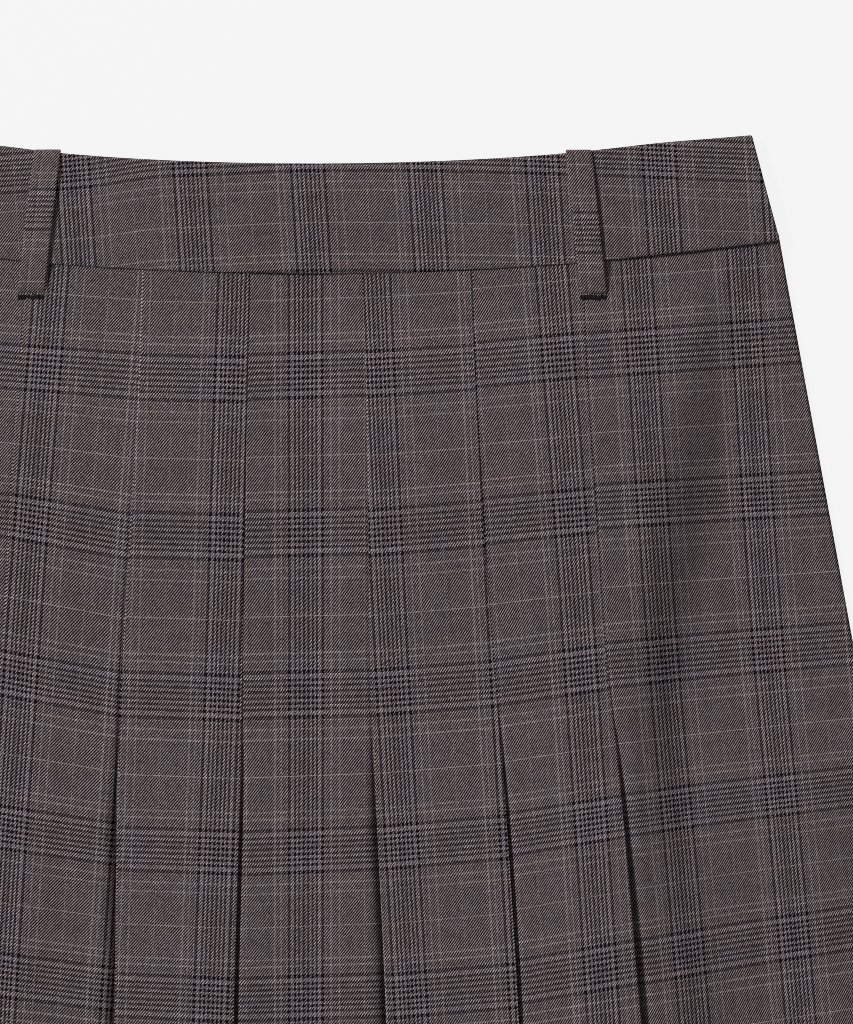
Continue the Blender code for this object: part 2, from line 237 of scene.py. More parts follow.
def along(stops, values, x):
    """The value at x on a smooth curve through the values at the stops."""
    slopes = []
    for i in range(len(stops)):
        before, after = max(i - 1, 0), min(i + 1, len(stops) - 1)
        slopes.append((values[after] - values[before]) / (stops[after] - stops[before]))
    i = max([k for k in range(len(stops) - 1) if x >= stops[k]], default=0)
    if x < stops[0]:
        return values[0] + slopes[0] * (x - stops[0])
    span = stops[i + 1] - stops[i]
    u = (x - stops[i]) / span
    if u > 1:
        return values[-1] + slopes[-1] * (x - stops[-1])
    from_start = (2 * u**3 - 3 * u**2 + 1) * values[i] + (u**3 - 2 * u**2 + u) * span * slopes[i]
    from_end = (3 * u**2 - 2 * u**3) * values[i + 1] + (u**3 - u**2) * span * slopes[i + 1]
    return from_start + from_end


def skirt_rise(down):
    return SEAM_RISE + (HEM_RISE - SEAM_RISE) * down / SKIRT_LENGTH


def skirt_half(down):
    return SEAM_HALF + SIDE_FLARE * (down + SEAM_RISE - skirt_rise(down))


def skirt_y(x, down):
    return SEAM_Y - down + skirt_rise(down) * (x / skirt_half(down)) ** 2


def pleat_x(pleat, down):
    return along(PLEAT_STOPS, pleat.edge, down)


def front_lift(x, down):
    """How far the front stands off the place where it would lie flat on the back."""
    lift = 0.0
    for falls in (INNER_FALLS, MIDDLE_FALLS, OUTER_FALLS):
        downs, centres, widths, drops = zip(*falls)
        reach = 0.5 + (along(downs, centres, down) - abs(x)) / along(downs, widths, down)
        lift += max(0.0, along(downs, drops, down)) * smooth(reach)
    return lift


def column_x(panel, below):
    return along(COLUMN_STOPS, panel.columns, below)


def weft_value(values, below):
    return along(DARK_WEFTS, values, min(max(below, DARK_WEFTS[0]), DARK_WEFTS[-1]))


def checks_down(below):
    """How many checks below the first dark band of weft a place on the centre line is."""
    stops = list(DARK_WEFTS)
    while stops[-1] < LENGTH:
        stops.append(stops[-1] + CHECK_LENGTH)
    return along(stops, list(range(len(stops))), below)


def weft_below(x, below):
    """The distance below the seam at which the weft thread through this place meets the centre line."""
    start = below
    folds = [pleat_x(pleat, max(0.0, below)) for pleat in PLEATS]
    if x >= 0:
        edges, panels = [0.0] + folds[MIDDLE_PANEL:] + [LENGTH], PANELS[MIDDLE_PANEL:]
    else:
        edges, panels = [0.0] + folds[MIDDLE_PANEL - 1 :: -1] + [-LENGTH], PANELS[MIDDLE_PANEL::-1]
    for panel, inner, outer in zip(panels, edges, edges[1:]):
        if abs(x) > abs(inner):
            reach = outer if abs(x) > abs(outer) else x
            below += weft_value(panel.climbs, start) * (reach - inner)
            below -= weft_value(panel.steps, start) / 1000
    return below


def warp_checks(panel, x, below):
    return (x - column_x(panel, below)) * panel.checks / CHECK_WIDTH


def pleat_turns(x, faces, base, pitch):
    """(x, z) along the cloth through one pleat, from left to right."""
    edge_turn = (-(pitch + CLOTH) / 2, base + 1.5 * pitch, -pi)
    hidden_turn = (-PLEAT_DEPTH, base + 0.5 * pitch, pi)
    turns = []
    for centre_x, centre_z, sweep in (edge_turn, hidden_turn):
        for step in range(TURN_STEPS + 1):
            angle = pi / 2 + sweep * step / TURN_STEPS
            turns.append((centre_x + pitch / 2 * cos(angle), centre_z + pitch / 2 * sin(angle)))
    if faces < 0:
        turns = [(-dx, z) for dx, z in reversed(turns)]
    return [(x + dx, z) for dx, z in turns]


def panel_places(left, right, steps):
    """Places across a panel, close together beside the folds."""
    inner_left, inner_right = left + FOLD_STEPS[-1], right - FOLD_STEPS[-1]
    places = [left + step for step in FOLD_STEPS[:-1]]
    places += [inner_left + (inner_right - inner_left) * step / steps for step in range(steps + 1)]
    return places + [right - step for step in reversed(FOLD_STEPS[:-1])]


# The border of a panel: a "side" edge, or a pleat whose folds the panel lies "over" or "under"
Border = namedtuple("Border", "x kind step valley")


def panel_points(left, right, base, pitch, free, steps):
    """(x, z) across the panel between two borders. It is two layers up over a pleat's own folds and
    sinks between them. Beside a fold that lies on it, it is pressed into a groove where the pleats are
    sewn, and dives in a steep valley where they are free. A side edge rolls down to meet the back."""
    clearances = []
    for border in (left, right):
        under = LOW_CLEARANCE + (1 - LOW_CLEARANCE) * border.step
        clearances.append(TURN_CLEARANCE * {"side": 0.0, "over": 1.0, "under": under}[border.kind])
    start, end = left.x + clearances[0], right.x - clearances[1]
    points = []
    for x in panel_places(start, end, steps):
        up, swell, groove, roll = 0.0, 1.0, 0.0, 0.0
        for border, distance in ((left, x - start), (right, end - x)):
            if border.kind == "side":
                roll += 1 - smooth(distance / EDGE_ROLL)
            elif border.kind == "over":
                up += smooth(1 - (distance - PLEAT_DEPTH) / OVER_RAMP)
            else:
                swell *= 1 - (1 - min(1.0, distance / border.valley)) ** VALLEY_CURVE
                groove += border.step * (1 - smooth(distance / GROOVE_WIDTH))
                up += (1 - border.step) * smooth(1 - distance / UNDER_RAMP)
        z = base + 2 * pitch * min(1.0, up) + free * SWELL * swell
        z -= (1 - free) * GROOVE * groove + roll * EDGE_DROP
        points.append((x, z))
    return points


def arc_lengths(points):
    lengths = [0.0]
    for (xa, za), (xb, zb) in zip(points, points[1:]):
        lengths.append(lengths[-1] + hypot(xb - xa, zb - za))
    return lengths


# A stretch of one cross section: the (x, z) points of a panel, or of the pleat after it
Run = namedtuple("Run", "kind number points")


def front_section(down):
    """The front's cross section at a distance down from the waist seam, along the middle of the cloth:
    its panels from left to right, with a pleat between each two."""
    free = smooth((down - STITCH_END) / RELEASE)
    pitch = STITCHED_PITCH + (OPEN_PITCH - STITCHED_PITCH) * smooth((down - STITCH_END) / LOOSEN)
    base = FRONT_Z + SEAM_LIFT * smooth(1 - down / SEAM_LIFT_LENGTH)
    half = skirt_half(down)
    left, steps = Border(-half, "side", 0, 0), SIDE_STEPS
    runs = []
    for number, pleat in enumerate(PLEATS):
        x = pleat_x(pleat, down)
        step = along(PLEAT_STOPS, pleat.step, down)
        right = Border(x, "over" if pleat.faces > 0 else "under", step, pleat.valley)
        runs.append(Run("panel", number, panel_points(left, right, base, pitch, free, steps)))
        runs.append(Run("pleat", number, pleat_turns(x, pleat.faces, base, pitch)))
        left = Border(x, "over" if pleat.faces < 0 else "under", step, pleat.valley)
        steps = PANEL_STEPS
    right = Border(half, "side", 0, 0)
    runs.append(Run("panel", len(PLEATS), panel_points(left, right, base, pitch, free, SIDE_STEPS)))
    return runs


def panel_checks(points, number, down, whole):
    """The place across the cut cloth of a panel's points, in checks."""
    places = []
    for x, _ in points:
        below = SEAM_Y - skirt_y(x, down)
        places.append(whole + warp_checks(PANELS[number], x, below))
    return places


def whole_checks():
    """Whole checks to add from panel to panel, so that each pleat hides its true length of cloth."""
    wholes = [0]
    runs = front_section(STITCH_END)
    for number in range(len(PLEATS)):
        before, pleat, after = (run.points for run in runs[2 * number : 2 * number + 3])
        hidden = arc_lengths([before[-1]] + pleat + [after[0]])[-1] / CHECK_WIDTH
        end = panel_checks(before[-1:], number, STITCH_END, wholes[-1])[0]
        start = panel_checks(after[:1], number + 1, STITCH_END, 0)[0]
        wholes.append(round(end + hidden - start))
    return wholes


def pleat_checks(number, runs, down, wholes):
    """The place across the cut cloth of a pleat's points, in checks. The panel before it rules up to
    the handover, and the panel after it from there on."""
    before, pleat, after = (run.points for run in runs[2 * number : 2 * number + 3])
    lengths = arc_lengths([before[-1]] + pleat + [after[0]])
    total = lengths[-1]
    start = panel_checks(before[-1:], number, down, wholes[number])[0]
    end = panel_checks(after[:1], number + 1, down, wholes[number + 1])[0]
    places = []
    for length in lengths[1:-1]:
        from_end = smooth((length / total - HANDOVER) / HANDOVER_LENGTH)
        from_before = start + length / CHECK_WIDTH
        from_after = end - (total - length) / CHECK_WIDTH
        places.append(from_before + (from_after - from_before) * from_end)
    return places


def front_row(down, wholes):
    """Points of one row of the front, each with its place on the cut cloth in metres."""
    runs = front_section(down)
    row = []
    for kind, number, points in runs:
        if kind == "panel":
            places = panel_checks(points, number, down, wholes[number])
        else:
            places = pleat_checks(number, runs, down, wholes)
            fold = pleat_x(PLEATS[number], down)
        for (x, z), place in zip(points, places):
            y = skirt_y(x, down)
            seen_x = x if kind == "panel" else fold
            below = weft_below(seen_x, SEAM_Y - skirt_y(seen_x, down))
            ripple = 0.0
            for wave in RIPPLES:
                ripple += wave.height * noise.noise(Vector((x * wave.across, y * wave.down, wave.seed)))
            spot = Vector((x, y, z + front_lift(x, down) + ripple))
            row.append((spot, place * CHECK_WIDTH, checks_down(below) * CHECK_LENGTH))
    return row


def cloth_sheet(name, rows):
    """A sheet of cloth through rows of (point, place across the cut cloth, place down it)."""
    across, up = len(rows[0]) - 1, len(rows) - 1
    bpy.ops.object.select_all(action="DESELECT")
    bpy.ops.mesh.primitive_grid_add(x_subdivisions=across, y_subdivisions=up, size=1)
    sheet = bpy.context.object
    sheet.name = name
    places = []
    for vertex in sheet.data.vertices:
        i = round((vertex.co.x + 0.5) * across)
        j = round((0.5 - vertex.co.y) * up)
        point, u, v = rows[j][i]
        vertex.co = point
        places.append((u, v))
    layer = sheet.data.uv_layers[0]
    layer.name = "cut cloth"
    for loop in sheet.data.loops:
        layer.data[loop.index].uv = places[loop.vertex_index]
    return sheet


def apply_modifier(piece, kind, **settings):
    modifier = piece.modifiers.new(kind.lower(), kind)
    for name, value in settings.items():
        setattr(modifier, name, value)
    bpy.context.view_layer.objects.active = piece
    bpy.ops.object.modifier_apply(modifier=modifier.name)


def shade(piece, sharp_angle):
    """Smooth shading, with the edges that turn by more than an angle left sharp."""
    piece.data.shade_smooth()
    piece.data.set_sharp_from_angle(angle=sharp_angle)


class Wire:
    """One output of a shader node. Arithmetic on it adds Math nodes, and node() adds any other node."""

    def __init__(self, tree, socket=None):
        self.tree = tree
        self.socket = socket

    def feed(self, node, inputs):
        """Links Wires to a node's inputs, and sets plain values on them."""
        for key, value in inputs.items():
            if isinstance(value, Wire):
                self.tree.links.new(value.socket, node.inputs[key])
            else:
                node.inputs[key].default_value = value

    def node(self, kind, settings=None, inputs=None, output=0):
        node = self.tree.nodes.new("ShaderNode" + kind)
        for name, value in (settings or {}).items():
            setattr(node, name, value)
        self.feed(node, inputs or {})
        return Wire(self.tree, node.outputs[output])

    def math(self, operation, *values):
        return self.node("Math", {"operation": operation}, dict(enumerate(values)))

    def mix(self, share, first, second):
        """A colour between two: the first where the share is 0, and the second where it is 1."""
        return self.node("Mix", {"data_type": "RGBA"}, {0: share, 6: first, 7: second}, 2)

    def __add__(self, other):
        return self.math("ADD", self, other)

    def __sub__(self, other):
        return self.math("SUBTRACT", self, other)

    def __rsub__(self, other):
        return self.math("SUBTRACT", other, self)

    def __mul__(self, other):
        return self.math("MULTIPLY", self, other)

    def __abs__(self):
        return self.math("ABSOLUTE", self)

    __radd__ = __add__
    __rmul__ = __mul__


def new_material(name):
    """A material, and a Wire to start its nodes from."""
    material = bpy.data.materials.new(name)
    material.use_nodes = True
    return material, Wire(material.node_tree)


def finish_with(start, inputs):
    """Values and Wires for the material's own shader."""
    start.feed(start.tree.nodes["Principled BSDF"], inputs)


# The order of the threads, from the middle of a dark column of warp to the right, or of a dark band of
# weft downwards: (middle, count) in threads. Fine pale lines run between the columns and the bands.
DARK_BOTH_SIDES = ((3.5, 3), (9.5, 3), (15.5, 3), (24.0, 4))
PALE_BOTH_SIDES = ((6.5, 3), (12.5, 3), (19.5, 5), (27.5, 1))
PALE_IN_WARP, PALE_IN_WEFT = ((0.5, 1),), ((0.0, 2),)
LINES_IN_WARP = ((-44.5, 3), (-36.0, 2), (36.0, 2), (48.0, 2), (84.5, 1))
LINES_IN_WEFT = ((-44.0, 2), (-36.0, 2), (37.0, 2), (48.0, 2))
BRIGHT_IN_WEFT = ((-82.5, 1),)

GROUND_YARN = (0.1040, 0.0830, 0.0848, 1)
DARK_YARN = (0.0045, 0.0025, 0.0035, 1)
PALE_YARN = (0.180, 0.152, 0.163, 1)
LINE_YARN = (0.205, 0.173, 0.172, 1)
BRIGHT_YARN = (0.215, 0.182, 0.178, 1)
WARM_CAST, COOL_CAST = (1.07, 0.985, 0.93, 1), (0.93, 1.01, 1.10, 1)
CAST_SCALE = 55.0

TWILL = 4  # threads in one repeat: up for two and down for two
# How much of the yarn beneath shows between the floats on top: of the warp in a column that plain weft
# crosses, of the plain warp in a band, and of either where a column and a band cross
COLUMN_SHOWS, BAND_SHOWS, CROSSING_SHOWS = 0.27, 0.08, 0.17
# The painted shade of the twill's ribs, lit on one slope and dark in the furrow beside it, and how far
# plumper yarns fill the hollows between them and flatten that shade
RIB_SHARPNESS, RIB_BRIGHTNESS, FULL_BRIGHTNESS, FULLEST = 1.9, 2.3, 0.92, 0.75
FULL_COLUMN, FULL_BAND, FULL_CROSSING, FULL_LINE, FULL_BRIGHT = 0.12, 0.05, 0.30, 0.5, 0.7
# How much the shade varies from float to float, from thread to thread and over the cloth
FLOAT_SPREAD, THREAD_SPREAD, MOTTLE_SPREAD = 1.08, 0.36, 0.28
MOTTLE_SCALE = 70.0
DARKEST = 0.02
RIB_RELIEF, FLOAT_RELIEF, RELIEF_STRENGTH, RELIEF_HEIGHT = 0.5, 0.3, 0.35, 0.00006
WOOL_ROUGHNESS, WOOL_SPECULAR = 0.88, 0.06

Yarns = namedtuple("Yarns", "colour stripe line bright")


def among(where, stripes):
    """1 where a count of threads is inside one of the stripes, and 0 elsewhere."""
    found = 0
    for middle, count in stripes:
        found = where.math("COMPARE", where, middle, count / 2) + found
    return found


def yarns(thread, pale_single, lines, brights):
    """The colours of the warp or the weft, and where its stripes, its pale lines and its brightest are."""
    half = CHECK_THREADS / 2
    side = thread.math("FLOORED_MODULO", thread + half, CHECK_THREADS) - (half - 0.5)
    distance = abs(side)
    dark = among(distance, DARK_BOTH_SIDES)
    pale = among(distance, PALE_BOTH_SIDES) + among(side, pale_single)
    line = among(side, lines)
    bright = among(side, brights)
    colour = GROUND_YARN
    for share, yarn in ((dark, DARK_YARN), (pale, PALE_YARN), (line, LINE_YARN), (bright, BRIGHT_YARN)):
        colour = thread.mix(share, colour, yarn)
    return Yarns(colour, dark + pale, line, bright)


def varied(random_share, spread):
    """A factor of about 1 that varies by a spread in all."""
    return (1 - spread / 2) + random_share * spread


def suiting(name, tint=(1, 1, 1)):
    """A worsted 2 and 2 twill with the woven check and painted shade on its ribs, on the piece's own
    cut-cloth coordinates.
    """
    material, start = new_material(name)
    place = start.node("UVMap", {"uv_map": "cut cloth"})
    ends = start.node("SeparateXYZ", {}, {0: place}, "X") * (CHECK_THREADS / CHECK_WIDTH)
    picks = start.node("SeparateXYZ", {}, {0: place}, "Y") * (CHECK_THREADS / CHECK_LENGTH)
    end, pick = ends.math("FLOOR", ends), picks.math("FLOOR", picks)
    warp = yarns(end, PALE_IN_WARP, LINES_IN_WARP, ())
    weft = yarns(pick, PALE_IN_WEFT, LINES_IN_WEFT, BRIGHT_IN_WEFT)

    # Which thread is on top. The brightest thread of weft has longer floats.
    order = start.math("FLOORED_MODULO", end + pick, TWILL)
    warp_up = order.math("LESS_THAN", order, (TWILL - 1) / 2 - weft.bright)
    weft_up = 1 - warp_up
    column, band = warp.stripe * (1 - weft.stripe), weft.stripe * (1 - warp.stripe)
    crossing = warp.stripe * weft.stripe
    seen = warp_up + weft_up * (column * COLUMN_SHOWS + band * BAND_SHOWS)
    seen = seen + (0.5 - warp_up) * crossing * (2 * CROSSING_SHOWS)
    colour = start.mix(seen, weft.colour, warp.colour)

    # The ribs of the twill as painted shade: bright on the slope that faces the lamp, dark in the furrows
    wave = start.math("COSINE", (ends + picks - 0.5) * (2 * pi / TWILL))
    painted_rib_shade = wave.math("POWER", wave * 0.5 + 0.5, RIB_SHARPNESS) * RIB_BRIGHTNESS
    full = column * FULL_COLUMN + band * FULL_BAND + crossing * FULL_CROSSING
    full = full + warp.line * warp_up * FULL_LINE + weft.line * weft_up * FULL_LINE
    full = full + weft.bright * weft_up * FULL_BRIGHT
    painted_rib_shade = painted_rib_shade + (FULL_BRIGHTNESS - painted_rib_shade) * full.math("MINIMUM", full, FULLEST)

    # The unevenness of each float and of each thread, and the wool's slow mottle
    cell = start.node("CombineXYZ", {}, {0: end, 1: pick})
    float_noise = start.node("TexWhiteNoise", {"noise_dimensions": "2D"}, {"Vector": cell})
    end_noise = start.node("TexWhiteNoise", {"noise_dimensions": "1D"}, {"W": end})
    pick_noise = start.node("TexWhiteNoise", {"noise_dimensions": "1D"}, {"W": pick + 0.5})
    thread_noise = end_noise * warp_up + pick_noise * weft_up
    mottled = {"Vector": place, "Scale": MOTTLE_SCALE, "Detail": 3.0}
    mottle = start.node("TexNoise", {"noise_dimensions": "2D"}, mottled)
    # The painted rib shade, times the yarns' own uneven tone
    light = painted_rib_shade * varied(float_noise, FLOAT_SPREAD) * varied(thread_noise, THREAD_SPREAD)
    light = light * varied(mottle, MOTTLE_SPREAD)
    light = light.math("MAXIMUM", light, DARKEST)
    colour = start.node("VectorMath", {"operation": "SCALE"}, {0: colour, "Scale": light})

    # The dye is a little warmer here and cooler there
    dyed = {"Vector": place, "Scale": CAST_SCALE, "Detail": 2.0}
    dye = start.node("TexNoise", {"noise_dimensions": "2D"}, dyed)
    cast = start.mix(dye, WARM_CAST, COOL_CAST)
    colour = start.node("VectorMath", {"operation": "MULTIPLY"}, {0: colour, 1: cast})
    colour = start.node("VectorMath", {"operation": "MULTIPLY"}, {0: colour, 1: tint})

    relief = {"Strength": RELIEF_STRENGTH, "Distance": RELIEF_HEIGHT}
    relief["Height"] = wave * RIB_RELIEF + float_noise * FLOAT_RELIEF
    normal = start.node("Bump", {}, relief)
    finish_with(start, {"Base Color": colour, "Normal": normal})
    finish_with(start, {"Roughness": WOOL_ROUGHNESS, "Specular IOR Level": WOOL_SPECULAR})
    return material


skirt_suiting = suiting("suiting")
wholes = whole_checks()
downs = [-TUCK, -TUCK / 2] + [SEEN_LENGTH * row / SEEN_ROWS for row in range(SEEN_ROWS)]
downs += [SEEN_LENGTH + (SKIRT_LENGTH - SEEN_LENGTH) * row / LOWER_ROWS for row in range(LOWER_ROWS + 1)]
front = cloth_sheet("front", [front_row(down, wholes) for down in downs])
apply_modifier(front, "SOLIDIFY", thickness=CLOTH, offset=0.0)
shade(front, SHARP)
front.data.materials.append(skirt_suiting)
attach(front, "root")
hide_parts("skirt_front")

# ----------------------------------------------------------------------
# The back: two plain halves of the same cloth, joined by a centre back seam below the zip. Each is cut
# on the straight grain and turned up at the hem. It lies on the table with its right side down.

BACK_Z = 0.0005
BACK_COLUMNS = 44
BACK_ROWS = 90
EVEN_SHARE = 0.35  # of the columns' spacing; the rest is closer towards the seam and the side
ZIP_HALF_GAP = 0.0026  # from the centre line to the edge of either half, along the zip
ZIP_END = 0.180  # below the waist seam
ZIP_CLOSE = 0.004  # over this length the seam closes below the zip
SEAM_SINK, SEAM_SINK_WIDTH = 0.00025, 0.003  # how the cloth dips towards the centre back seam


def back_row(side, down):
    open_share = 1 - smooth((down - ZIP_END) / ZIP_CLOSE)
    inner = SEAM_GAP / 2 + (ZIP_HALF_GAP - SEAM_GAP / 2) * open_share
    half = skirt_half(down)
    row = []
    for column in range(BACK_COLUMNS + 1):
        share = column / BACK_COLUMNS
        share = EVEN_SHARE * share + (1 - EVEN_SHARE) * smooth(share)
        x = side * (inner + (half - inner) * share)
        y = skirt_y(x, down)
        near_seam = 1 - smooth((abs(x) - inner) / SEAM_SINK_WIDTH)
        z = BACK_Z + SEAM_SINK * near_seam
        row.append((Vector((x, y, z)), x, checks_down(SEAM_Y - y) * CHECK_LENGTH))
    return row[::side]


for name, side in (("left", -1), ("right", +1)):
    rows = [back_row(side, -TUCK + (SKIRT_LENGTH + TUCK) * row / BACK_ROWS) for row in range(BACK_ROWS + 1)]
    back = cloth_sheet(f"back_{name}", rows)
    apply_modifier(back, "SOLIDIFY", thickness=CLOTH, offset=0.0)
    shade(back, SHARP)
    back.data.materials.append(skirt_suiting)
    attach(back, "root")
    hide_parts(f"skirt_back_{name}")

# ----------------------------------------------------------------------
# The waistband: a shaped band of the same cloth over an interlining, folded along its top edge and its
# ends, and stitched to the skirt in the ditch of the waist seam. The back has two halves beside the zip.

BAND_WALL = 0.0019
BAND_FRONT_Z = 0.0041
BAND_BACK_Z = 0.0013
BAND_EDGE_ROUND, BAND_CORNER = 0.0008, 1.0  # rounded where its wall turns by more than this angle
BAND_COLUMNS, BAND_ROWS = 150, 16
# The band covers the seam by this much between its ends, and by less over this length before them
BAND_SAG, BAND_SAG_HALF, BAND_SAG_EASE = 0.0006, 0.145, 0.05
# The top edge has been worn a little out of its curve
BAND_SLIP_STOPS = (-0.1826, -0.1281, -0.1050, -0.0785, 0.0, 0.0950, 0.1170, 0.1446, 0.1653, 0.1826)
BAND_SLIP = (0.0010, 0.0012, 0.0004, 0.0001, 0.0, 0.0, 0.0003, 0.0007, 0.0, -0.0008)
# The pale thread of weft that runs along the band: its height, and how close the weft is there
BAND_WEFT_STOPS = (-0.1900, -0.1281, -0.0909, -0.0649, -0.0421, -0.0037, 0.0496, 0.1120, 0.1835)
BAND_WEFT_LINE = (0.3335, 0.33631, 0.33879, 0.34230, 0.34334, 0.34499, 0.34499, 0.34365, 0.34110)
BAND_WEFT_STEP = (0.000330, 0.000331, 0.000335, 0.000340, 0.000340, 0.000339, 0.000339, 0.000335, 0.000332)
PALE_WEFT = 85.0  # threads below the middle of a dark band
BAND_COLUMN_X, BAND_COLUMN_Y = -0.0004, 0.3578  # a point of the dark column next to the centre
BAND_COLUMN_LEAN = 0.065  # how far the columns run to the right for each metre down


def band_point(across, down, z):
    """A point of the band: across from -1 to 1, and down from 0 at its top edge to 1 at the seam."""
    x = across * (TOP_HALF + (SEAM_HALF - TOP_HALF) * down)
    top = TOP_Y + TOP_RISE * (x / TOP_HALF) ** 2 + along(BAND_SLIP_STOPS, BAND_SLIP, x)
    sag = BAND_SAG * smooth((BAND_SAG_HALF - abs(x)) / BAND_SAG_EASE)
    seam = SEAM_Y + SEAM_RISE * (x / SEAM_HALF) ** 2 - sag
    return Vector((x, top + (seam - top) * down, z))


def on_band_cloth(point):
    """A point of the band with its place on its own cut cloth, across and down."""
    across = point.x - BAND_COLUMN_X - BAND_COLUMN_LEAN * (BAND_COLUMN_Y - point.y)
    line = along(BAND_WEFT_STOPS, BAND_WEFT_LINE, point.x)
    threads = PALE_WEFT + (line - point.y) / along(BAND_WEFT_STOPS, BAND_WEFT_STEP, point.x)
    return point, across, threads / CHECK_THREADS * CHECK_LENGTH


band_suiting = suiting("band suiting")


def finish_band(band, node):
    apply_modifier(band, "SOLIDIFY", thickness=BAND_WALL, offset=0.0, use_even_offset=True)
    apply_modifier(
        band, "BEVEL", width=BAND_EDGE_ROUND, segments=4, limit_method="ANGLE", angle_limit=BAND_CORNER
    )
    shade(band, SHARP)
    band.data.materials.append(band_suiting)
    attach(band, "root")
    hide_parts(node)


rows = []
shares = [2 * i / BAND_COLUMNS - 1 for i in range(BAND_COLUMNS + 1)]
for row in range(BAND_ROWS + 1):
    points = [band_point(share, row / BAND_ROWS, BAND_FRONT_Z) for share in shares]
    rows.append([on_band_cloth(point) for point in points])
band_front = cloth_sheet("band_front", rows)
finish_band(band_front, "waistband_front")

for name, side in (("left", -1), ("right", +1)):
    rows = []
    for row in range(BAND_ROWS + 1):
        down = row / BAND_ROWS
        inner = ZIP_HALF_GAP / (TOP_HALF + (SEAM_HALF - TOP_HALF) * down)
        shares = [inner + (1 - inner) * i / (BAND_COLUMNS // 2) for i in range(BAND_COLUMNS // 2 + 1)]
        points = [band_point(side * share, down, BAND_BACK_Z) for share in shares[::side]]
        rows.append([on_band_cloth(point) for point in points])
    band_back = cloth_sheet(f"band_back_{name}", rows)
    finish_band(band_back, f"waistband_back_{name}")

# ----------------------------------------------------------------------
# The belt loops: narrow strips of the cloth, folded in three and pressed. Each comes out of the fold of
# the band's top edge, runs down past the waist seam, turns under and is tacked to the skirt with a
# short bar of close dark stitches, near black so that the bar is also painted shadow for the hollow
# under the turned-under end.

Loop = namedtuple("Loop", "name top_x foot_x width dark_weft")
LOOPS = (
    Loop("left", -0.1084, -0.1152, 0.0113, 0.0258),
    Loop("right", 0.1110, 0.1172, 0.0110, 0.0353),
)
LOOP_CLOTH = 0.0005
LOOP_FOOT = 0.0587  # from the band's top edge down to the loop's lower end
LOOP_FOOT_Z = 0.0054
LOOP_TURN_UNDER = 0.008
LOOP_TURN_RADIUS, LOOP_TURN_LENGTH = 0.0009, 0.0018  # of the round foot, in height and along the loop
LOOP_TOP_RADIUS, LOOP_TOP_START = 0.0017, 0.02 * pi  # radius and first angle of the turn at its top
LOOP_TOP_STEPS, LOOP_FOOT_STEPS = 8, 6
LOOP_FACE = 0.0009  # of the loop's face above the band
LOOP_RISE = 0.0007  # of the empty loop off the band
LOOP_TOP_TAPER = 0.06  # the share of its width that it loses above the band's top edge
LOOP_PLAIN_ENDS = -0.0186  # the loops are cut from the plain part between two columns of the check
LOOP_WEFT_SCALE = 1.115  # how much closer the weft is than on the skirt
# Paler and a little warmer than the skirt's cloth; part of the paleness is painted light, for the upper
# part of each loop that faces the lamp
LOOP_TINT_AND_LIGHT = (1.12, 1.105, 1.08)
LoopStop = namedtuple("LoopStop", "down room")
LOOP_STOPS = (
    LoopStop(0.004, 0.15),
    LoopStop(0.008, 0.50),
    LoopStop(0.014, 0.90),
    LoopStop(0.022, 1.0),
    LoopStop(0.032, 1.0),
    LoopStop(0.042, 0.9),
    LoopStop(0.050, 0.6),
)
# Across the loop, in shares of its width: its left third is a fold that lies a little lower
LOOP_PROFILE = (
    (-0.5, -0.00050), (-0.49, -0.00030), (-0.46, -0.00016), (-0.40, -0.00012),
    (-0.30, -0.00014), (-0.22, -0.00020), (-0.19, -0.00034), (-0.17, -0.00034),
    (-0.14, -0.00004), (-0.11, 0.00003), (0.05, 0.00003), (0.25, 0.00002),
    (0.40, -0.00002), (0.46, -0.00010), (0.49, -0.00028), (0.5, -0.0005),
)
# The tack: its near-black bar is also painted shadow, for the hollow under the turned-under foot
TACK_LENGTH, TACK_HEIGHT, TACK_THICK, TACK_STITCHES = 0.0104, 0.0024, 0.0005, 19
TACK_DROP = 0.0016  # from the loop's foot down to the middle of the tack
TACK_OVERLAP = 1.2  # each stitch is this much wider than the space from one to the next
TACK_WANDER = 0.0007  # how far its stitches are set up and down
WANDER_STEP, WANDER_SEED = 0.37, 50  # how fast that changes from stitch to stitch and loop to loop
FAR_ABOVE = 0.1
# The tack's thread, near black so that it also paints the shadow in the hollow under the foot
THREAD_AND_SHADOW_DARK, THREAD_AND_SHADOW_PALE = (0.0012, 0.0008, 0.0010, 1), (0.0200, 0.0150, 0.0160, 1)

loop_suiting = suiting("loop suiting", tint=LOOP_TINT_AND_LIGHT)

# The tack's material: dark thread and painted shadow in one
tack_thread_and_shadow, start = new_material("dark thread and painted shadow")
spot = start.node("TexCoord", output="Object")
ply = start.node("TexWave", {}, {0: spot, "Scale": 900.0, "Distortion": 1.0}, 1)
thread_colour = start.mix(ply, THREAD_AND_SHADOW_DARK, THREAD_AND_SHADOW_PALE)
finish_with(start, {"Base Color": thread_colour, "Roughness": 0.9, "Specular IOR Level": 0.05})


def loop_path():
    """(down, z) along the outside of a loop, from the band's fold to the end that is turned under."""
    face_z = BAND_FRONT_Z + BAND_WALL / 2 + LOOP_FACE
    path = []
    for step in range(LOOP_TOP_STEPS + 1):
        angle = LOOP_TOP_START + (pi / 2 - LOOP_TOP_START) * step / LOOP_TOP_STEPS
        down = BAND_EDGE_ROUND - LOOP_TOP_RADIUS * cos(angle)
        path.append((down, face_z + LOOP_TOP_RADIUS * (sin(angle) - 1)))
    path += [(stop.down, face_z + stop.room * LOOP_RISE) for stop in LOOP_STOPS]
    for step in range(LOOP_FOOT_STEPS + 1):
        angle = pi / 2 - pi * step / LOOP_FOOT_STEPS
        down = LOOP_FOOT - LOOP_TURN_LENGTH + LOOP_TURN_LENGTH * cos(angle)
        path.append((down, LOOP_FOOT_Z + LOOP_TURN_RADIUS * (sin(angle) - 1)))
    path.append((LOOP_FOOT - LOOP_TURN_UNDER, LOOP_FOOT_Z - 2 * LOOP_TURN_RADIUS))
    return path


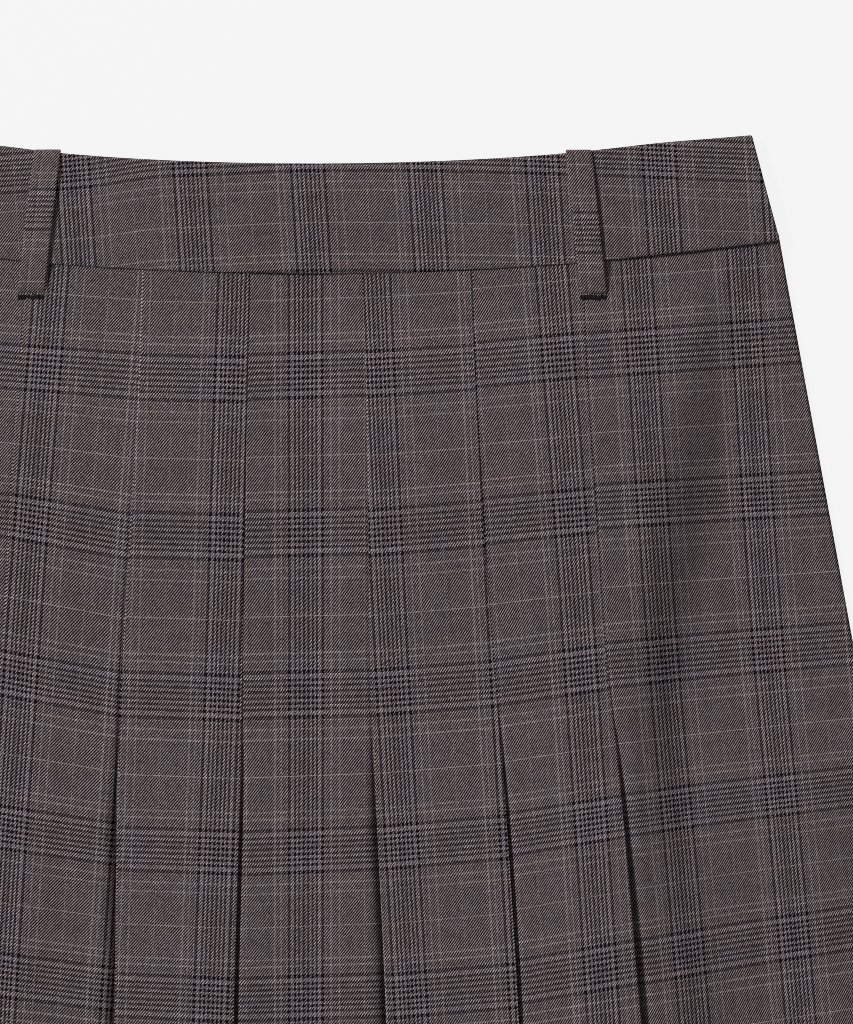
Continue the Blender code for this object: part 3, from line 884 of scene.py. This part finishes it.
def loop_rows(loop, top_y):
    path = loop_path()
    rows = []
    for (down, z), run in zip(path, arc_lengths(path)):
        centre = loop.top_x + (loop.foot_x - loop.top_x) * down / LOOP_FOOT
        above_band = smooth(-down / (LOOP_TOP_RADIUS - BAND_EDGE_ROUND))
        width = loop.width * (1 - LOOP_TOP_TAPER * above_band)
        row = []
        for across, rise in LOOP_PROFILE:
            point = Vector((centre + width * across, top_y - down, z + rise))
            pick = (run - loop.dark_weft) * LOOP_WEFT_SCALE
            row.append((point, loop.width * across + LOOP_PLAIN_ENDS, pick))
        rows.append(row)
    return rows


def repeat(piece, count, step):
    """The piece and its copies, each one step on from the last."""
    offset = {"use_relative_offset": False, "use_constant_offset": True, "constant_offset_displace": step}
    apply_modifier(piece, "ARRAY", count=count, **offset)


def sew_tack_and_shadow(loop, y):
    """A bar of stitches across the loop's foot, on the cloth of the front: one stitch, repeated. Its dark
    thread is also painted shadow under the foot.
    """
    bpy.context.view_layer.update()
    ends = []
    for across in (-0.5, 0.5):
        above = Vector((loop.foot_x + TACK_LENGTH * across, y, FAR_ABOVE))
        ends.append(front.ray_cast(above, Vector((0, 0, -1)))[1])
    step = (ends[1] - ends[0]) / (TACK_STITCHES - 1)
    stitch_size = (step.x * TACK_OVERLAP, TACK_HEIGHT, TACK_THICK)
    bpy.ops.mesh.primitive_uv_sphere_add(
        segments=12, ring_count=8, radius=0.5, location=ends[0], scale=stitch_size
    )
    tack_and_shadow = bpy.context.object
    tack_and_shadow.name = tack_and_shadow.data.name = f"loop_tack_and_shadow_{loop.name}"
    bpy.ops.object.transform_apply(location=True, rotation=True, scale=True)
    repeat(tack_and_shadow, TACK_STITCHES, step)
    for vertex in tack_and_shadow.data.vertices:
        stitch = round((vertex.co.x - ends[0].x) / step.x)
        place = Vector((stitch * WANDER_STEP, loop.foot_x * WANDER_SEED, 0.0))
        vertex.co.y += TACK_WANDER * noise.noise(place)
    return tack_and_shadow


for loop in LOOPS:
    top_y = band_point(loop.top_x / TOP_HALF, 0, 0).y
    strip = cloth_sheet(f"loop_{loop.name}", loop_rows(loop, top_y))
    apply_modifier(strip, "SOLIDIFY", thickness=LOOP_CLOTH, offset=-1.0)
    apply_modifier(strip, "SUBSURF", levels=1, render_levels=1)
    strip.data.shade_smooth()
    strip.data.materials.append(loop_suiting)
    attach(strip, "root")
    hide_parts(f"belt_loop_{loop.name}")

    tack_and_shadow = sew_tack_and_shadow(loop, top_y - LOOP_FOOT - TACK_DROP)
    tack_and_shadow.data.shade_smooth()
    tack_and_shadow.data.materials.append(tack_thread_and_shadow)
    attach(tack_and_shadow, "root")
    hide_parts(f"belt_loop_{loop.name}")

# ----------------------------------------------------------------------
# The zip: two woven tapes sewn behind the edges of the centre back opening, with a fine spiral of dark
# nylon teeth between them. It steps up behind the waistband and is closed to the top.

ZIP_HALF = ZIP_HALF_GAP - SEAM_GAP
ZIP_TOP = 0.001  # below the band's top edge
ZIP_Z = 0.0001
ZIP_STEP = 0.0015
ZIP_STEP_TOP, ZIP_STEP_FOOT = 0.012, 0.001  # above the waist seam
TAPE = 0.0005
TAPE_ROWS = 60
TAPE_PLACES = (-1, -0.8, -0.5, -0.25, -0.04, 0.04, 0.25, 0.5, 0.8, 1)  # in shares of its half width
TAPE_END_PITCH, TAPE_PICK_PITCH = 0.0006, 0.0008  # of its chevron weave
TAPE_SHADOW, TAPE_YARN = (0.016, 0.012, 0.013, 1), (0.034, 0.027, 0.029, 1)
TEETH_PITCH = 0.0016
TOOTH_WIDTH, TOOTH_LENGTH, TOOTH_HEIGHT = 0.0014, 0.0006, 0.0006
TOOTH_SHIFT = 0.0003  # of each tooth's middle from the centre line
TOOTH_SINK, TOOTH_BEVEL = 0.0002, 0.00014  # into the tapes, and at its edges
FIRST_TOOTH, TEETH_END = 0.0012, 0.004  # below the zip's top, and short of its full length
SHARP_HARD = 0.6  # nylon and metal keep edges that turn by more than this angle
NYLON_DARK, NYLON_WORN = (0.020, 0.016, 0.017, 1), (0.045, 0.037, 0.039, 1)


def zip_z(y):
    """The height of the zip's lower side."""
    climbed = (y - SEAM_Y - ZIP_STEP_FOOT) / (ZIP_STEP_TOP - ZIP_STEP_FOOT)
    return ZIP_Z + (ZIP_STEP - ZIP_Z) * smooth(climbed)


def block(name, low, high):
    """A block between two corners, with its faces ready to be shaped."""
    bpy.ops.object.select_all(action="DESELECT")
    middle = [(a + b) / 2 for a, b in zip(low, high)]
    bpy.ops.mesh.primitive_cube_add(size=1, location=middle, scale=[b - a for a, b in zip(low, high)])
    bpy.ops.object.transform_apply(location=True, rotation=True, scale=True)
    bpy.context.object.name = name
    return bpy.context.object


zip_top, zip_foot = TOP_Y - ZIP_TOP, SEAM_Y - ZIP_END + SEAM_GAP
rows = []
for row in range(TAPE_ROWS + 1):
    y = zip_top + (zip_foot - zip_top) * row / TAPE_ROWS
    z = zip_z(y) + TAPE / 2
    rows.append([(Vector((ZIP_HALF * place, y, z)), ZIP_HALF * place, y) for place in TAPE_PLACES])
tapes = cloth_sheet("zip_tapes", rows)
apply_modifier(tapes, "SOLIDIFY", thickness=TAPE, offset=0.0)
shade(tapes, SHARP)

tape_finish, start = new_material("woven tape")
place = start.node("UVMap", {"uv_map": "cut cloth"})
across = start.node("SeparateXYZ", {}, {0: place}, "X") * (2 * pi / TAPE_END_PITCH)
down = start.node("SeparateXYZ", {}, {0: place}, "Y") * (2 * pi / TAPE_PICK_PITCH)
weave = across.math("SINE", across + across.math("SIGN", across) * down) * 0.5 + 0.5
weave_colour = start.mix(weave, TAPE_SHADOW, TAPE_YARN)
weave_normal = start.node("Bump", {}, {"Strength": 0.5, "Distance": 0.00008, "Height": weave})
finish_with(start, {"Base Color": weave_colour, "Normal": weave_normal, "Roughness": 0.8})
tapes.data.materials.append(tape_finish)


def tooth(side, down):
    """A tooth from the tape on one side, which reaches past the centre line."""
    x, y = side * TOOTH_SHIFT, zip_top - down
    low = (x - TOOTH_WIDTH / 2, y - TOOTH_LENGTH / 2, -TOOTH_HEIGHT / 2)
    high = (x + TOOTH_WIDTH / 2, y + TOOTH_LENGTH / 2, TOOTH_HEIGHT / 2)
    return block("tooth", low, high)


# One tooth from each tape, which interlock, repeated down the zip
left_tooth = tooth(-1, FIRST_TOOTH)
teeth = tooth(+1, FIRST_TOOTH + TEETH_PITCH / 2)
left_tooth.select_set(True)
bpy.ops.object.join()
teeth.name = teeth.data.name = "zip_teeth"
apply_modifier(teeth, "BEVEL", width=TOOTH_BEVEL, segments=1)
pairs = int((zip_top - zip_foot - TEETH_END) / TEETH_PITCH)
repeat(teeth, pairs, (0, -TEETH_PITCH, 0))
for vertex in teeth.data.vertices:
    vertex.co.z += zip_z(vertex.co.y) + TAPE + TOOTH_HEIGHT / 2 - TOOTH_SINK
shade(teeth, SHARP_HARD)

nylon, start = new_material("dark nylon")
spot = start.node("TexCoord", output="Object")
wear = start.node("TexNoise", {}, {"Vector": spot, "Scale": 900.0, "Detail": 2.0})
finish_with(start, {"Base Color": start.mix(wear, NYLON_DARK, NYLON_WORN), "Roughness": wear * 0.15 + 0.32})
teeth.data.materials.append(nylon)

for piece in (tapes, teeth):
    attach(piece, "root")
    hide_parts("zip_chain")

# ----------------------------------------------------------------------
# The zip's slider: a small body of cast metal, lacquered dark, that holds the two rows of teeth, with a
# bridge on its face and a flat pull tab that hangs down from the bridge between the tapes.

SLIDER_TOP = TOP_Y - 0.004
SLIDER_LENGTH, SLIDER_HALF = 0.008, 0.0020
SLIDER_LOW = SEAM_GAP  # above the table
BODY_LOW, BODY_HIGH = SLIDER_LOW + 0.00028, SLIDER_LOW + 0.0009
BRIDGE_HALF, BRIDGE_LENGTH, BRIDGE_HIGH = 0.0006, 0.0050, SLIDER_LOW + 0.0004
BRIDGE_FOOT = SLIDER_TOP - 0.0065
NECK_Y = SLIDER_TOP - SLIDER_LENGTH  # the foot of the body, which the tab's neck passes
TAB_LENGTH, TAB_HALF, TAB_NECK = 0.019, 0.0014, 0.002
TAB_LOW, TAB_HIGH = SLIDER_LOW + 0.0001, SLIDER_LOW + 0.0007
FOOT_SHARE, NECK_SHARE = 0.55, 0.5  # how much narrower the body's foot and the tab's neck are
RIM_DEPTH, BODY_RIM, TAB_RIM = 0.0001, 0.0005, 0.0003  # the faces beneath are sunk inside a rim
BODY_BEVEL, BRIDGE_BEVEL, TAB_BEVEL = 0.00016, 0.00018, 0.00012
FACING = 0.9  # the least cosine between a face's normal and the way that it looks
LACQUER, RUBBED_METAL = (0.20, 0.18, 0.18, 1), (0.30, 0.28, 0.27, 1)


def pick_faces(piece, direction):
    """Into edit mode with only the faces that look this way selected."""
    bpy.ops.object.mode_set(mode="EDIT")
    bpy.ops.mesh.select_mode(type="FACE")
    bpy.ops.mesh.select_all(action="DESELECT")
    bpy.ops.object.mode_set(mode="OBJECT")
    for face in piece.data.polygons:
        face.select = face.normal.dot(direction) > FACING
    bpy.ops.object.mode_set(mode="EDIT")


down_face, foot_face, head_face = Vector((0, 0, -1)), Vector((0, -1, 0)), Vector((0, 1, 0))
slider = block("slider", (-SLIDER_HALF, NECK_Y, BODY_LOW), (SLIDER_HALF, SLIDER_TOP, BODY_HIGH))
pick_faces(slider, foot_face)
bpy.ops.transform.resize(value=(FOOT_SHARE, 1, 1))
pick_faces(slider, down_face)
bpy.ops.mesh.inset(thickness=BODY_RIM, depth=-RIM_DEPTH)
bpy.ops.object.mode_set(mode="OBJECT")
apply_modifier(slider, "BEVEL", width=BODY_BEVEL, segments=2)

bridge_head = BRIDGE_FOOT + BRIDGE_LENGTH
bridge = block("bridge", (-BRIDGE_HALF, BRIDGE_FOOT, SLIDER_LOW), (BRIDGE_HALF, bridge_head, BRIDGE_HIGH))
apply_modifier(bridge, "BEVEL", width=BRIDGE_BEVEL, segments=2)

tab_foot, tab_head = NECK_Y - TAB_LENGTH, NECK_Y - 2 * TAB_NECK
tab = block("tab", (-TAB_HALF, tab_foot, TAB_LOW), (TAB_HALF, tab_head, TAB_HIGH))
pick_faces(tab, head_face)
bpy.ops.mesh.extrude_region_move(TRANSFORM_OT_translate={"value": (0, TAB_NECK, 0)})
bpy.ops.transform.resize(value=(NECK_SHARE, 1, 1))
bpy.ops.mesh.extrude_region_move(TRANSFORM_OT_translate={"value": (0, 2 * TAB_NECK, 0)})
pick_faces(tab, down_face)
bpy.ops.mesh.inset(thickness=TAB_RIM, depth=-RIM_DEPTH)
bpy.ops.object.mode_set(mode="OBJECT")
apply_modifier(tab, "BEVEL", width=TAB_BEVEL, segments=2)

lacquer, start = new_material("dark lacquered metal")
spot = start.node("TexCoord", output="Object")
rubbed = start.node("TexNoise", {}, {"Vector": spot, "Scale": 1500.0, "Detail": 3.0})
rubbed = start.node("MapRange", {}, {"Value": rubbed, "From Min": 0.45, "From Max": 0.75})
finish_with(start, {"Base Color": start.mix(rubbed, LACQUER, RUBBED_METAL)})
finish_with(start, {"Roughness": 0.38 - rubbed * 0.12, "Metallic": 0.85})
for piece in (slider, bridge, tab):
    shade(piece, SHARP_HARD)
    piece.data.materials.append(lacquer)
    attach(piece, "root")
    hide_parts("zip_slider")
